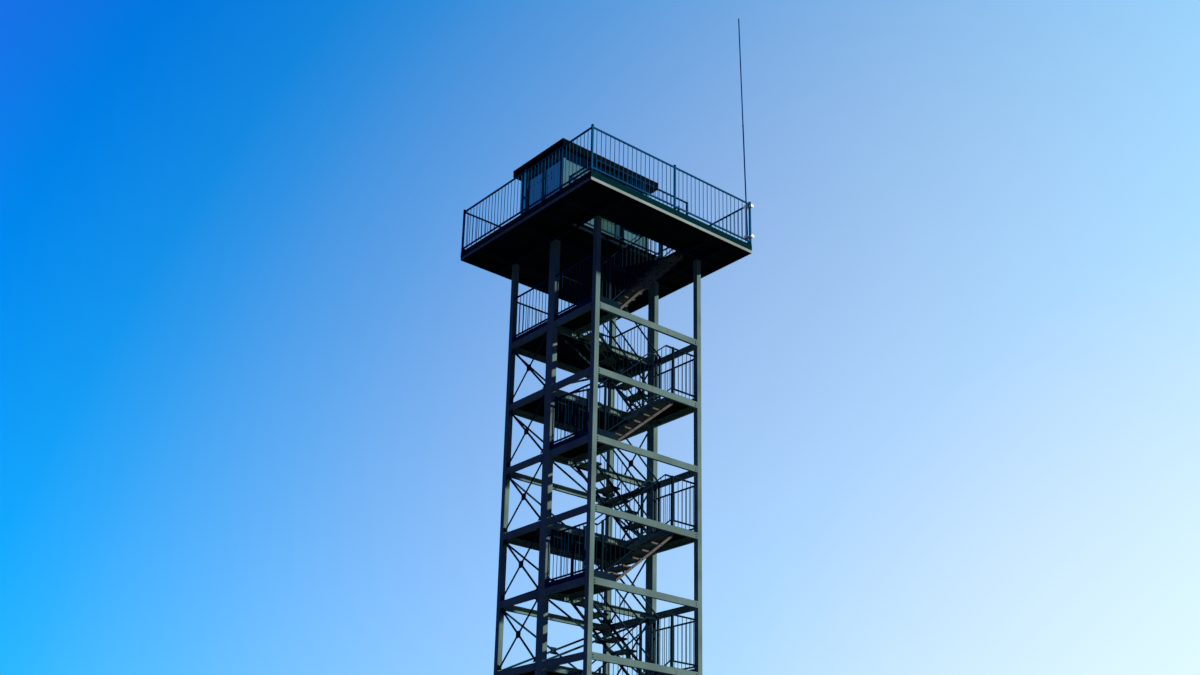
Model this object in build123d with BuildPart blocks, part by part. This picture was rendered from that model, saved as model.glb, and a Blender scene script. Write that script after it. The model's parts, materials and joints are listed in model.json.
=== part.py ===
from build123d import *
from math import atan2, degrees, hypot
import os

os.makedirs("parts", exist_ok=True)

# Fire lookout tower of steel frames, millimetres, +Z up.
# Origin: ground level at the centre of the square frame.
# +X runs along the open front, +Y runs from the front to the back.

# Driving dimensions of the frame
frame_side = 3000.0
storey_height = 1460.0
storeys = 9
deck_rise = 2105.0
column_side = 120.0
column_wall = 6.0
middle_column_length = 220.0
base_plate_thickness = 25.0
base_plate_overhang = 90.0
anchor_hole_radius = 11.0
anchor_edge_distance = 35.0

# Rolled sections and plates
beam_depth = 140.0
flange_width = 60.0
joist_width = 73.0
web_thickness = 7.0
flange_thickness = 10.0
plate_thickness = 5.0
plate_gap = 2.0

# Bracing
brace_width = 45.0
brace_thickness = 10.0
gusset_middle = 150.0
gusset_corner = 120.0
bar_seat = 0.45

# Stairs
left_landing_length = 680.0
right_landing_length = 800.0
risers = 7
top_risers = 10
lane_width = 580.0
front_lane_inset = 65.0
back_lane_inset = 160.0
stringer_depth = 50.0
stringer_width = 40.0
stringer_drop = 247.0
tread_depth = 275.0
tread_thickness = 35.0
bracket_width = 6.0
bracket_setback = 5.0
hanger_width = 50.0

# Railings
rail_height = 1100.0
flight_rail_lead = 165.0
rail_side = 30.0
rail_setback = 5.0
post_side = 40.0
baluster_side = 10.0
baluster_pitch = 120.0
bottom_rail_height = 130.0
toe_board_height = 110.0
toe_board_thickness = 5.0
kick_plate_height = 130.0

# Deck
deck_front_overhang = 1000.0
deck_back_overhang = 600.0
deck_opening_length = 2460.0
deck_opening_width = 650.0
guard_side_gap = 120.0
guard_end_gap = 165.0
toe_board_up = 60.0

# Cabin
cabin_length = 2540.0
cabin_width = 1530.0
cabin_left_inset = 170.0
cabin_back_inset = 30.0
cabin_height = 2290.0
cabin_wall = 60.0
window_foot = 950.0
window_top = 2090.0
glass_thickness = 8.0
side_panes = ((100.0, 710.0), (760.0, 1330.0))
front_panes = ((1850.0, 2350.0),)
back_panes = ((190.0, 820.0), (955.0, 1585.0), (1720.0, 2350.0))
door_start = 1040.0
door_width = 680.0
door_height = 2060.0
door_thickness = 40.0
door_foot_gap = 4.0
door_stile = 90.0
door_lock_stile = 270.0
door_pane_foot = 1000.0
door_pane_top = 1950.0
roof_thickness = 60.0
roof_overhang = 160.0
roof_edge = 12.0
fascia_depth = 170.0
fascia_thickness = 30.0

# Antenna
antenna_length = 5900.0
antenna_base_length = 3000.0
antenna_radius = 16.0
antenna_tip_radius = 14.0
antenna_foot_height = 150.0
antenna_inset = 40.0
antenna_lean = 1.2
clamp_heights = (230.0, 990.0)
clamp_reach = 60.0
clamp_width = 70.0
clamp_depth = 60.0

# Places worked out from the driving dimensions
half = frame_side / 2
column_inner = half - column_side
web_line = half - flange_width
left_landing_edge = -half + left_landing_length
right_landing_edge = half - right_landing_length
top_floor = storeys * storey_height
deck_floor = top_floor + deck_rise
deck_underside = deck_floor - beam_depth - plate_thickness
deck_low = -half - deck_front_overhang
deck_high = half + deck_back_overhang
deck_middle = (deck_low + deck_high) / 2
odd_levels = range(1, storeys + 1, 2)
even_levels = range(2, storeys + 1, 2)
levels = range(1, storeys + 1)
front_lane = -half + front_lane_inset
back_lane = -back_lane_inset - lane_width
opening_end = -half + deck_opening_length


def floor_of(level):
    return level * storey_height


def block(x0, x1, y0, y1, z0, z1, mode=Mode.ADD):
    """A plain block between two opposite corners, in the open part."""
    with Locations(((x0 + x1) / 2, (y0 + y1) / 2, (z0 + z1) / 2)):
        Box(x1 - x0, y1 - y0, z1 - z0, mode=mode)


def channel(start, end, flanges_to, depth=beam_depth):
    """A level channel between two points at the foot of its web; flanges_to is the side they point to."""
    path = Vector(*end) - Vector(*start)
    plane = Plane(origin=start, x_dir=flanges_to, z_dir=Vector(*flanges_to).cross(Vector(0, 0, 1)))
    with BuildSketch(plane) as section:
        with BuildLine():
            Polyline(
                (0, 0), (flange_width, 0), (flange_width, flange_thickness),
                (web_thickness, flange_thickness), (web_thickness, depth - flange_thickness),
                (flange_width, depth - flange_thickness), (flange_width, depth), (0, depth), close=True,
            )
        make_face()
    extrude(section.sketch, amount=path.dot(plane.z_dir))


def joist(start, end):
    """A level beam of I section between two points on its bottom centre line."""
    path = Vector(*end) - Vector(*start)
    along = path.normalized()
    plane = Plane(origin=start, x_dir=Vector(0, 0, 1).cross(along), z_dir=along)
    with BuildSketch(plane) as section:
        with Locations((0, flange_thickness / 2), (0, beam_depth - flange_thickness / 2)):
            Rectangle(joist_width, flange_thickness)
        with Locations((0, beam_depth / 2)):
            Rectangle(web_thickness, beam_depth)
    extrude(section.sketch, amount=path.length)


def save(part, name):
    part.label = name
    export_step(part, f"parts/{name}.step")


# Columns
column_line = half - column_side / 2
corner_spots = [(sx * column_line, sy * column_line) for sx in (-1, 1) for sy in (-1, 1)]
middle_spots = [(sx * column_line, 0) for sx in (-1, 1)]

with BuildPart() as corner_columns:
    with BuildSketch(Plane.XY.offset(base_plate_thickness)):
        with Locations(*corner_spots):
            Rectangle(column_side, column_side)
            Rectangle(column_side - 2 * column_wall, column_side - 2 * column_wall, mode=Mode.SUBTRACT)
    extrude(amount=deck_underside - base_plate_thickness)
save(corner_columns.part, "corner_columns")

with BuildPart() as middle_columns:
    with BuildSketch(Plane.XY.offset(base_plate_thickness)):
        with Locations(*middle_spots):
            Rectangle(column_side, middle_column_length)
            Rectangle(
                column_side - 2 * column_wall, middle_column_length - 2 * column_wall, mode=Mode.SUBTRACT
            )
    extrude(amount=deck_underside - base_plate_thickness)
save(middle_columns.part, "middle_columns")

base_side = column_side + 2 * base_plate_overhang
middle_base_length = middle_column_length + 2 * base_plate_overhang
anchor_spacing = base_side - 2 * anchor_edge_distance
middle_anchor_spacing = middle_base_length - 2 * anchor_edge_distance
with BuildPart() as base_plates:
    with BuildSketch():
        with Locations(*corner_spots):
            Rectangle(base_side, base_side)
            with GridLocations(anchor_spacing, anchor_spacing, 2, 2):
                Circle(anchor_hole_radius, mode=Mode.SUBTRACT)
        with Locations(*middle_spots):
            Rectangle(base_side, middle_base_length)
            with GridLocations(anchor_spacing, middle_anchor_spacing, 2, 2):
                Circle(anchor_hole_radius, mode=Mode.SUBTRACT)
    extrude(amount=base_plate_thickness)
save(base_plates.part, "base_plates")

# Beams between the columns, one set at every landing level
def beam_bottom(level):
    return floor_of(level) - plate_thickness - beam_depth


bay_starts = [(-column_inner, -middle_column_length / 2), (middle_column_length / 2, column_inner)]

with BuildPart() as front_beams:
    for level in levels:
        z = beam_bottom(level)
        channel((-column_inner, -half, z), (column_inner, -half, z), (0, 1, 0))
save(front_beams.part, "front_beams")

with BuildPart() as back_beams:
    for level in levels:
        z = beam_bottom(level)
        channel((-column_inner, half, z), (column_inner, half, z), (0, -1, 0))
save(back_beams.part, "back_beams")

with BuildPart() as side_beams:
    for level in levels:
        for y0, y1 in bay_starts:
            z = beam_bottom(level)
            channel((-half, y0, z), (-half, y1, z), (1, 0, 0))
            channel((half, y0, z), (half, y1, z), (-1, 0, 0))
save(side_beams.part, "side_beams")

with BuildPart() as cross_beams:
    for level in levels:
        z = beam_bottom(level)
        joist((-column_inner, 0, z), (column_inner, 0, z))
save(cross_beams.part, "cross_beams")

# Floor plates on the beams

def cut_columns(bottom, top):
    """Notches round all six columns in the open part."""
    for x, y in corner_spots:
        reach = column_side / 2 + plate_gap
        block(x - reach, x + reach, y - reach, y + reach, bottom, top, Mode.SUBTRACT)
    for x, y in middle_spots:
        reach_x = column_side / 2 + plate_gap
        reach_y = middle_column_length / 2 + plate_gap
        block(x - reach_x, x + reach_x, y - reach_y, y + reach_y, bottom, top, Mode.SUBTRACT)


with BuildPart() as landings:
    for level in levels:
        top = floor_of(level)
        x0, x1 = (-half, left_landing_edge) if level % 2 else (right_landing_edge, half)
        block(x0, x1, -half, 0, top - plate_thickness, top)
        cut_columns(top - plate_thickness, top)
save(landings.part, "landings")

with BuildPart() as back_platforms:
    for level in list(even_levels) + [storeys]:
        top = floor_of(level)
        block(-half, half, plate_gap, half, top - plate_thickness, top)
        cut_columns(top - plate_thickness, top)
save(back_platforms.part, "back_platforms")

with BuildPart() as landing_edge_beams:
    for level in levels:
        z = beam_bottom(level)
        edge, outward = (left_landing_edge, (-1, 0, 0)) if level % 2 else (right_landing_edge, (1, 0, 0))
        channel((edge, -web_line, z), (edge, -joist_width / 2, z), outward)
save(landing_edge_beams.part, "landing_edge_beams")


def repeat(unit, heights):
    """Copies of a finished unit at the given heights, added to the open part."""
    with Locations(*[(0, 0, height) for height in heights]):
        add(unit.part)


# Kick plates standing on the front edge of the left landings
with BuildPart() as landing_kick_plates:
    for level in odd_levels:
        top = floor_of(level)
        block(
            -column_inner, left_landing_edge, -half, -half + toe_board_thickness,
            top, top + kick_plate_height,
        )
save(landing_kick_plates.part, "landing_kick_plates")

# Bracing: flat bars crossed in each panel, with a gusset plate at the crossing and at each corner
brace_line = half - flange_width / 2
panel_foot = base_plate_thickness
panel_height = beam_bottom(1) - panel_foot
all_storeys = range(0, storeys)
bay_run = column_inner - middle_column_length / 2


def crossed_panel(middle, side, run):
    """Crossed bars in an upright panel of the lowest storey, centred on a plan point."""
    centre = Vector(*middle) + Vector(0, 0, panel_foot + panel_height / 2)
    normal = Vector(*side).cross(Vector(0, 0, 1))
    seat = gusset_corner * bar_seat
    reach = hypot(run, panel_height) - 2 * seat
    lean = degrees(atan2(panel_height, run))
    with BuildSketch(Plane(origin=centre, x_dir=side, z_dir=normal)) as outline:
        for turn in (lean, -lean):
            with Locations(Location((0, 0), turn)):
                Rectangle(reach, brace_width)
        Rectangle(gusset_middle, gusset_middle)
        for sx in (-1, 1):
            for sy in (-1, 1):
                x, y = sx * run / 2, sy * panel_height / 2
                with BuildLine():
                    Polyline((x, y), (x - sx * gusset_corner, y), (x, y - sy * gusset_corner), close=True)
                make_face()
    extrude(outline.sketch, amount=brace_thickness / 2, both=True)


with BuildPart() as left_panel:
    crossed_panel((-brace_line, (column_inner + middle_column_length / 2) / 2), (0, 1, 0), bay_run)

with BuildPart() as left_bracing:
    repeat(left_panel, [floor_of(level) for level in all_storeys])
save(left_bracing.part, "left_bracing")

with BuildPart() as right_bracing:
    mirror(left_bracing.part, about=Plane.YZ)
save(right_bracing.part, "right_bracing")

with BuildPart() as back_panel:
    crossed_panel((0, brace_line), (1, 0, 0), 2 * column_inner)

with BuildPart() as back_bracing:
    repeat(back_panel, [floor_of(level) for level in all_storeys])
save(back_bracing.part, "back_bracing")

with BuildPart() as middle_panel:
    crossed_panel((0, 0), (1, 0, 0), 2 * column_inner)

with BuildPart() as middle_bracing:
    repeat(middle_panel, [floor_of(level) for level in range(0, storeys, 2)])
save(middle_bracing.part, "middle_bracing")


# Stairs: each flight climbs from the nosing of its first tread to the edge of the upper floor.
# A flight is (first nosing, last nosing, near side of the lane, rise, number of risers).
front_flight = (left_landing_edge, right_landing_edge, front_lane, storey_height, risers)
back_flight = (right_landing_edge, left_landing_edge, back_lane, storey_height, risers)
top_flight = (left_landing_edge, opening_end, front_lane, deck_rise, top_risers)
front_floors = [floor_of(level) for level in range(1, storeys, 2)]
back_floors = [floor_of(level) for level in range(0, storeys, 2)]


def pace(flight):
    """Direction, going, riser and length in plan of a flight."""
    first, last, lane, rise, count = flight
    way = 1 if last > first else -1
    run = abs(last - first)
    return way, run / (count - 1), rise / count, run


def stringers(flight):
    """Both stringers of a flight from the floor at height 0, with their tread brackets and head hangers."""
    first, last, lane, rise, count = flight
    way, step_on, step_up, run = pace(flight)
    slope = step_up / step_on
    depth = stringer_depth * hypot(1, slope)
    foot = (stringer_drop - step_up) / slope
    head = rise - plate_thickness - beam_depth

    def under(t):
        return step_up + t * slope - stringer_drop

    outline = [
        (foot, 0), (run + hanger_width, under(run + hanger_width)), (run + hanger_width, head),
        (run, head), (run, under(run) + depth), (foot - depth / slope, 0),
    ]
    for outer, inward in ((lane, 1), (lane + lane_width, -1)):
        side = Plane(origin=(first, outer, 0), x_dir=(way, 0, 0), z_dir=(0, -way, 0))
        with BuildSketch(side) as profile:
            with BuildLine():
                Polyline(*outline, close=True)
            make_face()
        extrude(profile.sketch, amount=-way * inward * stringer_width)
        inner_side = side.offset(-way * inward * stringer_width)
        with BuildSketch(inner_side) as brackets:
            for number in range(1, count):
                nose = (number - 1) * step_on + bracket_setback
                bracket_depth = tread_depth - 2 * bracket_setback
                with Locations((nose, number * step_up - tread_thickness)):
                    Rectangle(bracket_depth, tread_thickness, align=(Align.MIN, Align.MIN))
        extrude(brackets.sketch, amount=-way * inward * bracket_width)


def treads(flight):
    """Treads of a flight between its brackets."""
    first, last, lane, rise, count = flight
    way, step_on, step_up, run = pace(flight)
    width = lane_width - 2 * stringer_width - 2 * bracket_width
    middle = lane + lane_width / 2
    places = []
    for number in range(1, count):
        x = first + way * ((number - 1) * step_on + tread_depth / 2)
        places.append((x, middle, number * step_up - tread_thickness / 2))
    with Locations(*places):
        Box(tread_depth, width, tread_thickness)


with BuildPart() as front_stringer_unit:
    stringers(front_flight)

with BuildPart() as front_stringers:
    repeat(front_stringer_unit, front_floors)
save(front_stringers.part, "front_stringers")

with BuildPart() as back_stringer_unit:
    stringers(back_flight)

with BuildPart() as back_stringers:
    repeat(back_stringer_unit, back_floors)
save(back_stringers.part, "back_stringers")

with BuildPart() as top_stringer_unit:
    stringers(top_flight)

with BuildPart() as top_stringers:
    repeat(top_stringer_unit, [top_floor])
save(top_stringers.part, "top_stringers")

with BuildPart() as front_tread_unit:
    treads(front_flight)

with BuildPart() as back_tread_unit:
    treads(back_flight)

with BuildPart() as top_tread_unit:
    treads(top_flight)

with BuildPart() as stair_treads:
    repeat(front_tread_unit, front_floors)
    repeat(back_tread_unit, back_floors)
    repeat(top_tread_unit, [top_floor])
save(stair_treads.part, "stair_treads")


# Railings: a guard follows a line of floor or nosings in an upright plane
def height_on(line, s):
    """Height of the line over the distance s."""
    for (s0, z0), (s1, z1) in zip(line, line[1:]):
        if s0 <= s <= s1:
            return z0 + (z1 - z0) * (s - s0) / (s1 - s0)
    return line[-1][1]


def band(line, low, high):
    """The strip between two heights over the line, as a face of the open sketch."""
    with BuildLine(Plane.XY) as edge:
        Polyline(*[(s, z + low) for s, z in line], *[(s, z + high) for s, z in reversed(line)], close=True)
    make_face(edge.line)


def guard(plane, line, posts=(), balusters=True, toe=False, top_line=None):
    """Two rails, the upper one along its own line if it has one, posts as (distance, foot height),
    balusters and a toe board."""
    low = bottom_rail_height
    top_line = top_line or line
    with BuildSketch(plane) as rails:
        band(top_line, rail_height - rail_side, rail_height)
        band(line, low, low + rail_side)
    extrude(rails.sketch, amount=rail_side / 2, both=True)
    if posts:
        with BuildSketch(plane) as uprights:
            for s, foot in posts:
                height = height_on(top_line, s) + rail_height - foot
                with Locations((s, foot)):
                    Rectangle(post_side, height, align=(Align.CENTER, Align.MIN))
        extrude(uprights.sketch, amount=post_side / 2, both=True)
    if balusters:
        first, last = line[0][0], line[-1][0]
        count = round((last - first) / baluster_pitch)
        with BuildSketch(plane) as bars:
            for number in range(1, count):
                s = first + (last - first) * number / count
                start = height_on(line, s) + low + rail_side / 2
                end = height_on(top_line, s) + rail_height - rail_side / 2
                with Locations((s, start)):
                    Rectangle(baluster_side, end - start, align=(Align.CENTER, Align.MIN))
        extrude(bars.sketch, amount=baluster_side / 2, both=True)
    if toe:
        with BuildSketch(plane) as board:
            band(line, 0, toe_board_height)
        extrude(board.sketch, amount=toe_board_thickness / 2, both=True)


def along_x(y):
    """Upright plane facing the front, with distance = X and height = Z."""
    return Plane(origin=(0, y, 0), x_dir=(1, 0, 0), z_dir=(0, -1, 0))


def along_y(x):
    """Upright plane facing right, with distance = Y and height = Z."""
    return Plane(origin=(x, 0, 0), x_dir=(0, 1, 0), z_dir=(1, 0, 0))


def flight_path(flight, lower_end, upper_end, lead=0.0):
    """Line over a flight's nosings and along its two landings, from low to high distance.
    The slope starts and ends earlier by lead, and a lower end past its start lies on it."""
    first, last, lane, rise, count = flight
    way, step_on, step_up = pace(flight)[:3]
    slope_start = first - way * (step_on + lead)
    line = [(lower_end, max(0, way * (lower_end - slope_start)) * step_up / step_on)]
    if way * (slope_start - lower_end) > 0:
        line.append((slope_start, 0))
    line += [(last - way * lead, rise), (upper_end, rise)]
    return line if way > 0 else line[::-1]


left_floors = [floor_of(level) for level in odd_levels]
right_floors = [floor_of(level) for level in even_levels]
side_line = half - post_side / 2 - rail_setback
bay_line = [(-column_inner, 0), (-middle_column_length / 2, 0)]

with BuildPart() as left_landing_unit:
    guard(along_y(-side_line), bay_line, toe=True)

with BuildPart() as right_landing_unit:
    guard(along_y(side_line), bay_line, toe=True)

with BuildPart() as landing_railings:
    repeat(left_landing_unit, left_floors)
    repeat(right_landing_unit, right_floors)
save(landing_railings.part, "landing_railings")


def end_posts(flight):
    """Distances of the posts on the lower and the upper landing of a flight."""
    first, last = flight[:2]
    way, step_on = pace(flight)[:2]
    return first - way * (step_on + post_side), last + way * post_side


front_low, front_high = end_posts(front_flight)
front_posts = [(front_low, 0), (front_high, storey_height)]
with BuildPart() as front_guard_unit:
    ends = (-column_inner, column_inner)
    path = flight_path(front_flight, *ends)
    rail_path = flight_path(front_flight, *ends, flight_rail_lead)
    guard(along_x(front_lane + stringer_width / 2), path, front_posts, top_line=rail_path)

with BuildPart() as front_flight_railings:
    repeat(front_guard_unit, front_floors)
save(front_flight_railings.part, "front_flight_railings")

back_low, back_high = end_posts(back_flight)
back_posts = [(back_low, 0), (back_high, storey_height)]
with BuildPart() as back_guard_unit:
    ends = (back_low + post_side / 2, -column_inner)
    path = flight_path(back_flight, *ends)
    rail_path = flight_path(back_flight, *ends, flight_rail_lead)
    guard(along_x(back_lane + lane_width - stringer_width / 2), path, back_posts, top_line=rail_path)

with BuildPart() as back_flight_railings:
    repeat(back_guard_unit, back_floors)
save(back_flight_railings.part, "back_flight_railings")

# Handrails on both sides of the well between the lanes, without balusters
well_front = front_lane + lane_width - stringer_width / 2
well_back = back_lane + stringer_width / 2
with BuildPart() as well_front_unit:
    ends = (front_low - post_side / 2, front_high + post_side / 2)
    path = flight_path(front_flight, *ends)
    rail_path = flight_path(front_flight, *ends, flight_rail_lead)
    guard(along_x(well_front), path, front_posts, balusters=False, top_line=rail_path)

with BuildPart() as well_back_unit:
    ends = (back_low + post_side / 2, back_high - post_side / 2)
    path = flight_path(back_flight, *ends)
    rail_path = flight_path(back_flight, *ends, flight_rail_lead)
    guard(along_x(well_back), path, back_posts, balusters=False, top_line=rail_path)

with BuildPart() as well_handrails:
    repeat(well_front_unit, front_floors)
    repeat(well_back_unit, back_floors)
save(well_handrails.part, "well_handrails")

# Top flight: railings on both sides, up through the deck opening
top_first, top_last = top_flight[:2]
top_low = end_posts(top_flight)[0]
top_going, top_riser = pace(top_flight)[1:3]
top_end = top_last - post_side
top_end_height = deck_rise - post_side * top_riser / top_going
top_post = top_end - post_side / 2
top_slope = [(top_first - top_going, 0), (top_end, top_end_height)]
stringer_rise = stringer_depth * hypot(1, top_riser / top_going)
with BuildPart() as top_guard_unit:
    foot = top_end_height - stringer_drop + stringer_rise
    sides = ((front_lane + stringer_width / 2, -column_inner), (well_front, top_low - post_side / 2))
    for y, start in sides:
        guard(along_x(y), [(start, 0)] + top_slope, [(top_low, 0), (top_post, foot)])

with BuildPart() as top_flight_railings:
    repeat(top_guard_unit, [top_floor])
save(top_flight_railings.part, "top_flight_railings")

# Railings round the back platform under the deck
left_bay = [(middle_column_length / 2, 0), (column_inner, 0)]
with BuildPart() as platform_unit:
    guard(along_y(-side_line), left_bay, toe=True)
    guard(along_y(side_line), left_bay, toe=True)
    guard(along_x(side_line), [(-column_inner, 0), (column_inner, 0)], [(0, 0)], toe=True)

with BuildPart() as platform_railings:
    repeat(platform_unit, [top_floor])
save(platform_railings.part, "platform_railings")

# Deck: main beams over the columns, joists between them, edge channels all round and a plate
frame_low = deck_low + toe_board_thickness
frame_high = deck_high - toe_board_thickness
inside_low = frame_low + flange_width
inside_high = frame_high - flange_width
opening_front = -half + joist_width / 2
opening_left = -half + joist_width / 2
opening_back = opening_front + deck_opening_width
main_lines = (-half, opening_back + joist_width / 2, 0, half)
joist_lines = (-half, opening_end + joist_width / 2, half)

with BuildPart() as deck_main_beams:
    for y in main_lines:
        joist((inside_low, y, deck_underside), (inside_high, y, deck_underside))
save(deck_main_beams.part, "deck_main_beams")

with BuildPart() as deck_joists:
    stops = [inside_low]
    for y in main_lines:
        stops += [y - joist_width / 2, y + joist_width / 2]
    stops.append(inside_high)
    for x in joist_lines:
        for start, end in zip(stops[::2], stops[1::2]):
            joist((x, start, deck_underside), (x, end, deck_underside))
save(deck_joists.part, "deck_joists")

with BuildPart() as deck_long_edges:
    channel((frame_low, frame_low, deck_underside), (frame_high, frame_low, deck_underside), (0, 1, 0))
    channel((frame_low, frame_high, deck_underside), (frame_high, frame_high, deck_underside), (0, -1, 0))
save(deck_long_edges.part, "deck_long_edges")

with BuildPart() as deck_side_edges:
    channel((frame_low, inside_low, deck_underside), (frame_low, inside_high, deck_underside), (1, 0, 0))
    channel((frame_high, inside_low, deck_underside), (frame_high, inside_high, deck_underside), (-1, 0, 0))
save(deck_side_edges.part, "deck_side_edges")

opening_front_edge = opening_front - plate_gap
opening_back_edge = opening_back + plate_gap
plate_foot = deck_floor - plate_thickness
with BuildPart() as deck_plates:
    block(frame_low, frame_high, frame_low, opening_front_edge, plate_foot, deck_floor)
    block(frame_low, frame_high, opening_back_edge, frame_high, plate_foot, deck_floor)
    block(frame_low, opening_left, opening_front, opening_back, plate_foot, deck_floor)
    block(opening_end, frame_high, opening_front, opening_back, plate_foot, deck_floor)
save(deck_plates.part, "deck_plates")

# Deck railings: a toe board outside the upper part of each edge channel, posts on the plate
toe_board_foot = deck_floor - beam_depth / 2
post_line = frame_low + post_side / 2
far_post_line = frame_high - post_side / 2
deck_posts = [(post_line, 0), (deck_middle, 0), (far_post_line, 0)]

with BuildPart() as front_railing_unit:
    guard(along_x(post_line), [(post_line, 0), (far_post_line, 0)], deck_posts)

with BuildPart() as front_railing:
    repeat(front_railing_unit, [deck_floor])
    block(deck_low, deck_high, deck_low, frame_low, toe_board_foot, deck_floor + toe_board_up)
save(front_railing.part, "front_railing")

with BuildPart() as back_railing:
    mirror(front_railing.part, about=Plane.XZ.offset(-deck_middle))
save(back_railing.part, "back_railing")

side_run = [(post_line + post_side / 2, 0), (far_post_line - post_side / 2, 0)]
with BuildPart() as left_railing_unit:
    guard(along_y(post_line), side_run, [(deck_middle, 0)])

with BuildPart() as left_railing:
    repeat(left_railing_unit, [deck_floor])
    block(deck_low, frame_low, frame_low, frame_high, toe_board_foot, deck_floor + toe_board_up)
save(left_railing.part, "left_railing")

with BuildPart() as right_railing:
    mirror(left_railing.part, about=Plane.YZ.offset(deck_middle))
save(right_railing.part, "right_railing")

# Guard round the stair opening: along the front and back of it and across its left end
guard_front = opening_front - guard_side_gap
guard_back = opening_back + guard_side_gap
guard_left = opening_left - guard_end_gap
guard_right = opening_end + post_side
with BuildPart() as opening_guard_unit:
    for y in (guard_front, guard_back):
        line = [(guard_left, 0), (guard_right, 0)]
        middle = (guard_left + guard_right) / 2
        guard(along_x(y), line, [(guard_left, 0), (middle, 0), (guard_right, 0)])
    guard(along_y(guard_left), [(guard_front, 0), (guard_back, 0)])

with BuildPart() as opening_guard:
    repeat(opening_guard_unit, [deck_floor])
save(opening_guard.part, "opening_guard")

# Cabin on the back of the deck: four hollow-cut walls, glazing, a door and a flat roof
cabin_left = -half + cabin_left_inset
cabin_right = cabin_left + cabin_length
cabin_back = half - cabin_back_inset
cabin_front = cabin_back - cabin_width
cabin_top = deck_floor + cabin_height
sill = deck_floor + window_foot
head = deck_floor + window_top
door_left = cabin_left + door_start
door_right = door_left + door_width
door_top = deck_floor + door_height
inner_left = cabin_left + cabin_wall
inner_right = cabin_right - cabin_wall


def panes_along_y(x, thickness, panes, mode=Mode.ADD):
    """Window-sized blocks in a side wall, from the plane x on."""
    for y0, y1 in panes:
        block(x, x + thickness, cabin_front + y0, cabin_front + y1, sill, head, mode)


def panes_along_x(y, thickness, panes, mode=Mode.ADD):
    """Window-sized blocks in a long wall, from the plane y on."""
    for x0, x1 in panes:
        block(cabin_left + x0, cabin_left + x1, y, y + thickness, sill, head, mode)


with BuildPart() as cabin_left_wall:
    block(cabin_left, inner_left, cabin_front, cabin_back, deck_floor, cabin_top)
    panes_along_y(cabin_left, cabin_wall, side_panes, Mode.SUBTRACT)
save(cabin_left_wall.part, "cabin_left_wall")

with BuildPart() as cabin_right_wall:
    block(inner_right, cabin_right, cabin_front, cabin_back, deck_floor, cabin_top)
    panes_along_y(inner_right, cabin_wall, side_panes, Mode.SUBTRACT)
save(cabin_right_wall.part, "cabin_right_wall")

back_face = cabin_back - cabin_wall
with BuildPart() as cabin_back_wall:
    block(inner_left, inner_right, back_face, cabin_back, deck_floor, cabin_top)
    panes_along_x(back_face, cabin_wall, back_panes, Mode.SUBTRACT)
save(cabin_back_wall.part, "cabin_back_wall")

inside_face = cabin_front + cabin_wall
with BuildPart() as cabin_front_wall:
    block(inner_left, inner_right, cabin_front, inside_face, deck_floor, cabin_top)
    panes_along_x(cabin_front, cabin_wall, front_panes, Mode.SUBTRACT)
    block(door_left, door_right, cabin_front, inside_face, deck_floor, door_top, Mode.SUBTRACT)
save(cabin_front_wall.part, "cabin_front_wall")

door_face = cabin_front + (cabin_wall - door_thickness) / 2
door_pane = (
    door_left + door_stile, door_right - door_lock_stile,
    deck_floor + door_pane_foot, deck_floor + door_pane_top,
)
with BuildPart() as cabin_door:
    block(
        door_left, door_right, door_face, door_face + door_thickness,
        deck_floor + door_foot_gap, door_top,
    )
    block(*door_pane[:2], door_face, door_face + door_thickness, *door_pane[2:], Mode.SUBTRACT)
save(cabin_door.part, "cabin_door")

pane_inset = (cabin_wall - glass_thickness) / 2
with BuildPart() as window_glass:
    panes_along_y(cabin_left + pane_inset, glass_thickness, side_panes)
    panes_along_y(inner_right + pane_inset, glass_thickness, side_panes)
    panes_along_x(cabin_front + pane_inset, glass_thickness, front_panes)
    panes_along_x(back_face + pane_inset, glass_thickness, back_panes)
    glass_face = cabin_front + pane_inset
    block(*door_pane[:2], glass_face, glass_face + glass_thickness, *door_pane[2:])
save(window_glass.part, "window_glass")

roof_left = cabin_left - roof_overhang
roof_right = cabin_right + roof_overhang
roof_front = cabin_front - roof_overhang
roof_back = cabin_back + roof_overhang
with BuildPart() as cabin_roof:
    roof_top = cabin_top + roof_thickness
    block(roof_left, roof_right, roof_front, roof_back, roof_top - fascia_depth, roof_top)
    block(
        roof_left + fascia_thickness, roof_right - fascia_thickness, roof_front + fascia_thickness,
        roof_back - fascia_thickness, roof_top - fascia_depth, cabin_top, Mode.SUBTRACT,
    )
    chamfer(cabin_roof.faces().sort_by(Axis.Z)[-1].edges(), length=roof_edge)
save(cabin_roof.part, "cabin_roof")

# Antenna: a slender whip inside the front right corner post, leaning a little to the back left
antenna_x = far_post_line - antenna_inset
antenna_y = post_line + antenna_inset
antenna_axis = Vector(0, 0, 1).rotate(Axis((0, 0, 0), (1, 1, 0)), -antenna_lean)
antenna_foot = Plane(
    origin=(antenna_x, antenna_y, deck_floor + antenna_foot_height), z_dir=antenna_axis,
)
with BuildPart() as antenna:
    with BuildSketch(antenna_foot):
        Circle(antenna_radius)
    extrude(amount=antenna_base_length)
    with BuildSketch(antenna_foot.offset(antenna_base_length)):
        Circle(antenna_tip_radius)
    extrude(amount=antenna_length - antenna_base_length)
save(antenna.part, "antenna")

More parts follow.
